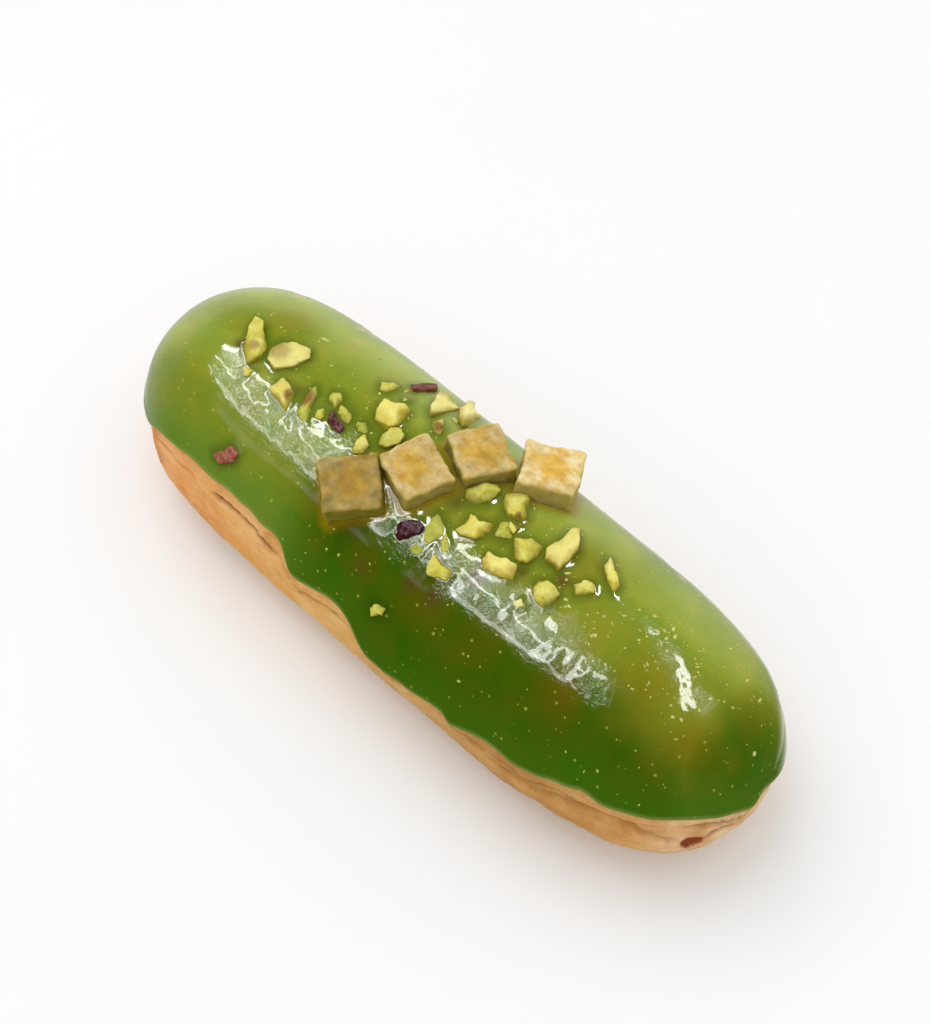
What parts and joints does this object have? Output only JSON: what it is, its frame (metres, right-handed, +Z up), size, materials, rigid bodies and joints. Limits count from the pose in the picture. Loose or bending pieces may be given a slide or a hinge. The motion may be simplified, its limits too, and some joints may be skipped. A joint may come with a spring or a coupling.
{
  "type": "eclair",
  "caption": "Glazed eclair: a long blunt-ended choux loaf under dripping green icing, topped with candied citrus squares and chopped pistachio.",
  "frame": {"origin": "middle of the flat base, on the surface that the eclair stands on", "axes": "+X along the loaf towards the end with the small vent, +Y across it, +Z up"},
  "size_m": [0.1298, 0.0444, 0.0363],
  "materials": {
    "choux_crust": "matte",
    "green_icing": "gloss",
    "candied_citrus": "satin",
    "pistachio": "matte",
    "pistachio_skin": "satin"
  },
  "bodies": {
    "root": {"choux_body": "choux_crust", "green_icing": "green_icing", "citrus_square_1": "candied_citrus", "citrus_square_2": "candied_citrus", "citrus_square_3": "candied_citrus", "citrus_square_4": "candied_citrus"}
  },
  "joints": []
}
